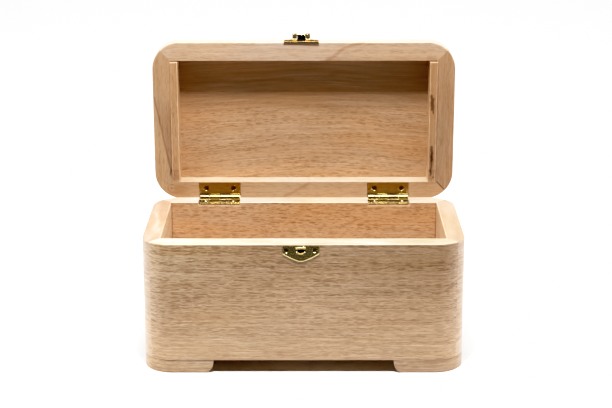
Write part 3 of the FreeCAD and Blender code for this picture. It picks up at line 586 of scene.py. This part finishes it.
calm = dict(fleck=0.42, cell=(9.0, 1.5), small=(5.0, 1.05), keep=0.40, fibre=0.13, lines=0.12, blotch=0.08, pale=0.08)
mats = {
    "body_front_wall": beech("beech_front", "X", FRONT, seed=1.0, slant=0.010, lines=0.20, fleck=0.90, cell=(9.0, 1.02), small=(5.2, 0.74),
                             blotch=0.02, hue=0.45, crisp=1.7, gather=0.92, marks=front_marks, dens=front_dens, wrap=front_wrap, deep=0.15),
    "body_back_wall": beech("beech_back", "X", INNER, seed=2.0, fleck=0.85, cell=(7.0, 1.8), small=(4.2, 1.2), lines=0.13, fibre=0.18, slant=0.03,
                            marks=back_wall_marks, dens=wall_dens, wrap=back_wrap, deep=0.15),
    "body_left_wall": beech("beech_left", "Y", SIDE_L, seed=3.0, fleck=0.6, marks=left_marks, dens=wall_dens, deep=0.15),
    "body_right_wall": beech("beech_right", "Y", SIDE_R, seed=4.0, fleck=0.6, marks=right_marks, dens=wall_dens, deep=0.15),
    "body_bottom_panel": beech("beech_bottom", "X", INNER, seed=5.0, fleck=0.6, marks=bottom_marks),
    "front_left_foot": beech("beech_foot_fl", "X", FOOT_L, seed=6.0, fleck=0.6, marks=foot_marks, deep=0.15),
    "front_right_foot": beech("beech_foot_fr", "X", FOOT_R, seed=7.0, fleck=0.6, marks=foot_marks, deep=0.15),
    "back_left_foot": beech("beech_foot_bl", "X", FOOT_L, seed=8.0, fleck=0.6, marks=foot_marks, deep=0.15),
    "back_right_foot": beech("beech_foot_br", "X", FOOT_R, seed=9.0, fleck=0.6, marks=foot_marks, deep=0.15),
    "lid_front_wall": beech("beech_lid_front", "X", LID_F, seed=10.0, marks=lid_front_marks, **calm),
    "lid_back_wall": beech("beech_lid_back", "X", LID_B, seed=11.0, marks=lid_back_marks, **dict(calm, lines=0.05)),
    "lid_left_wall": beech("beech_lid_left", "Z", LID_L, seed=12.0, marks=lid_left_marks, **calm),
    "lid_right_wall": beech("beech_lid_right", "Z", LID_R, seed=13.0, marks=lid_right_marks, **dict(calm, lines=0.20, fibre=0.20)),
    "lid_top_panel": beech("beech_lid_panel", "X", PANEL, seed=14.0, fleck=0.62, keep=0.28, cell=(7.0, 1.5),
                           small=(4.2, 1.05), lines=0.20, fibre=0.23, wave=2.4, pale=0.10, marks=panel_marks, dens=panel_dens, bend=panel_bend),
    "lid_left_batten": beech("beech_batten_left", "Z", BAT_L, seed=15.0, marks=batten_left_marks, **calm),
    "lid_right_batten": beech("beech_batten_right", "Z", BAT_R, seed=16.0, marks=batten_right_marks, **calm),
}
hinge = brass("brass_hinge", (0.58, 0.425, 0.155), 0.22, 1.0, marks=hinge_marks, dents=0.05)
latch = brass("brass_latch", (0.76, 0.61, 0.32), 0.16, 2.0, marks=catch_marks, dents=0.035)
latch_top = brass("brass_latch_plate", (0.66, 0.52, 0.28), 0.20, 5.0, marks=latch_plate_marks, edge=(0.55, 0.42, 0.10))
# the body leaves get a darker copy of the hinge brass: painted shade
hinge_low = brass("brass_hinge_low", (0.37, 0.285, 0.155), 0.24, 4.0, marks=hinge_marks, dents=0.04)
# screw heads painted dark brown: painted shade of their recesses
screws = brass("brass_screws", (0.15, 0.10, 0.042), 0.30, 3.0)
black = black_steel_and_shade("black_spring")
# the right lid leaf gets a brighter copy of the hinge brass: painted light
hinge_right = brass("brass_hinge_right", (0.70, 0.58, 0.24), 0.22, 1.0, marks=hinge_marks, dents=0.05)
for n in ("left_hinge_lid_leaf", "left_hinge_pin", "right_hinge_pin"):
    mats[n] = hinge
mats["right_hinge_lid_leaf"] = hinge_right
for n in ("left_hinge_body_leaf", "right_hinge_body_leaf"):
    mats[n] = hinge_low
mats["catch_plate"] = latch
mats["latch_lever"] = brass("brass_lever", (0.76, 0.61, 0.32), 0.18, 6.0, marks=lever_marks)
mats["latch_plate"] = latch_top
for n in ("hinge_body_screws", "hinge_lid_screws", "catch_screws", "latch_screws", "latch_pin"):
    mats[n] = screws
mats["latch_spring"] = black
for n, o in nodes.items():
    o.data.materials.clear()
    o.data.materials.append(mats[n])

# ------------------------------------------------------------------ floor
bpy.ops.mesh.primitive_plane_add(size=8.0, location=(0, 0, 0))
floor = bpy.context.object
floor.name = "floor"
ft = Tree("pale_floor")
fn, _ = ft.noise(ft.vmath("MULTIPLY", ft.object_mm(), (0.004, 0.004, 0.004)), 2.0)
ft.put(ft.bsdf.inputs["Base Color"], ft.mix(fn, (0.79, 0.79, 0.79), (0.82, 0.82, 0.82)))
ft.bsdf.inputs["Roughness"].default_value = 0.9
ft.bsdf.inputs["Specular IOR Level"].default_value = 0.0
floor.data.materials.append(ft.mat)

# ------------------------------------------------------------------ light
world = bpy.data.worlds.new("studio")
scene.world = world
world.use_nodes = True
world.node_tree.nodes["Background"].inputs[0].default_value = (1.0, 0.985, 0.96, 1.0)


def area(name, loc, target, size, power, colour=(1, 1, 1), size_y=None):
    d = bpy.data.lights.new(name, "AREA")
    d.shape = "RECTANGLE" if size_y else "DISK"
    d.size = size
    if size_y:
        d.size_y = size_y
    d.energy = power
    d.color = colour
    o = bpy.data.objects.new(name, d)
    scene.collection.objects.link(o)
    o.location = loc
    o.rotation_euler = (Vector(target) - Vector(loc)).to_track_quat("-Z", "Y").to_euler()
    return o


KEY, OVER, SIDE, BACK, CARD, WORLD = 11.9, 34.0, 13.0, 60.0, 14.0, 0.0
world.node_tree.nodes["Background"].inputs[1].default_value = WORLD
area("key", (-0.01, -0.27, 0.82), (0, 0.0, 0.12), 0.05, KEY)
area("over", (0.0, -0.05, 1.5), (0.0, -0.05, 0.0), 0.9, OVER, size_y=0.9)
area("left", (-1.0, 0.15, 0.35), (0, 0, 0.08), 0.7, SIDE)
area("right", (1.0, 0.15, 0.35), (0, 0, 0.08), 0.7, SIDE)
area("behind", (0.0, 1.6, 2.0), (0.0, 1.3, 0.0), 3.0, BACK, size_y=1.6)
area("back_card", (0.0, 2.3, 0.75), (0.0, 0.0, 0.3), 2.6, CARD, size_y=1.3)
# a dark cloth on the floor in front, out of the picture, as photographers lay one down to hold metal dark
bpy.ops.mesh.primitive_plane_add(size=1.0, location=(0, -0.80, 0.002))
flag = bpy.context.object
flag.name = "front_flag"
flag.scale = (2.4, 1.24, 1.0)
gt = Tree("flag_cloth")
gn, _ = gt.noise(gt.vmath("MULTIPLY", gt.object_mm(), (0.4, 0.4, 0.4)), 2.0)
gt.put(gt.bsdf.inputs["Base Color"], gt.mix(gn, (0.020, 0.020, 0.020), (0.032, 0.032, 0.032)))
gt.bsdf.inputs["Roughness"].default_value = 0.95
gt.bsdf.inputs["Specular IOR Level"].default_value = 0.0
flag.data.materials.append(gt.mat)
flag.visible_camera = False
flag.visible_shadow = False

# beyond the lamps' reach the floor in front runs on pale; it gives no light
bpy.ops.mesh.primitive_plane_add(size=1.0, location=(0, -15.4, 0.004))
sweep = bpy.context.object
sweep.name = "front_sweep"
sweep.scale = (60.0, 30.0, 1.0)
st = Tree("pale_sweep")
_, sy, _ = st.split(st.object_mm())
glow = st.t.nodes.new("ShaderNodeEmission")
glow.inputs["Color"].default_value = (1.0, 1.0, 1.0, 1.0)
st.put(glow.inputs["Strength"], st.ramp(sy, 497.0, 440.0, 0.0, 1.7))
clear = st.t.nodes.new("ShaderNodeBsdfTransparent")
both = st.t.nodes.new("ShaderNodeAddShader")
st.t.links.new(glow.outputs[0], both.inputs[0])
st.t.links.new(clear.outputs[0], both.inputs[1])
st.t.links.new(both.outputs[0], st.out.inputs[0])
st.t.nodes.remove(st.bsdf)
sweep.data.materials.append(st.mat)
sweep.visible_diffuse = False
sweep.visible_glossy = False
sweep.visible_transmission = False
sweep.visible_volume_scatter = False
sweep.visible_shadow = False

# ------------------------------------------------------------------ camera
CAM = Vector((0.0035695, -1.0568765, 0.405139))
PITCH, YAW, ROLL = math.radians(16.042), math.radians(-0.105), math.radians(-0.054)
fwd = Vector((math.sin(YAW) * math.cos(PITCH), math.cos(YAW) * math.cos(PITCH), -math.sin(PITCH)))
right = Vector((math.cos(YAW), -math.sin(YAW), 0.0))
up = right.cross(fwd)
r2 = math.cos(ROLL) * right + math.sin(ROLL) * up
u2 = -math.sin(ROLL) * right + math.cos(ROLL) * up
cam_data = bpy.data.cameras.new("camera")
cam_data.sensor_fit = "HORIZONTAL"
cam_data.sensor_width = 36.0
cam_data.lens = 91.175
cam_data.clip_start = 0.01
cam_data.clip_end = 50.0
cam = bpy.data.objects.new("camera", cam_data)
scene.collection.objects.link(cam)
m = Matrix.Identity(4)
for i in range(3):
    m[i][0], m[i][1], m[i][2], m[i][3] = r2[i], u2[i], -fwd[i], CAM[i]
cam.matrix_world = m
scene.camera = cam
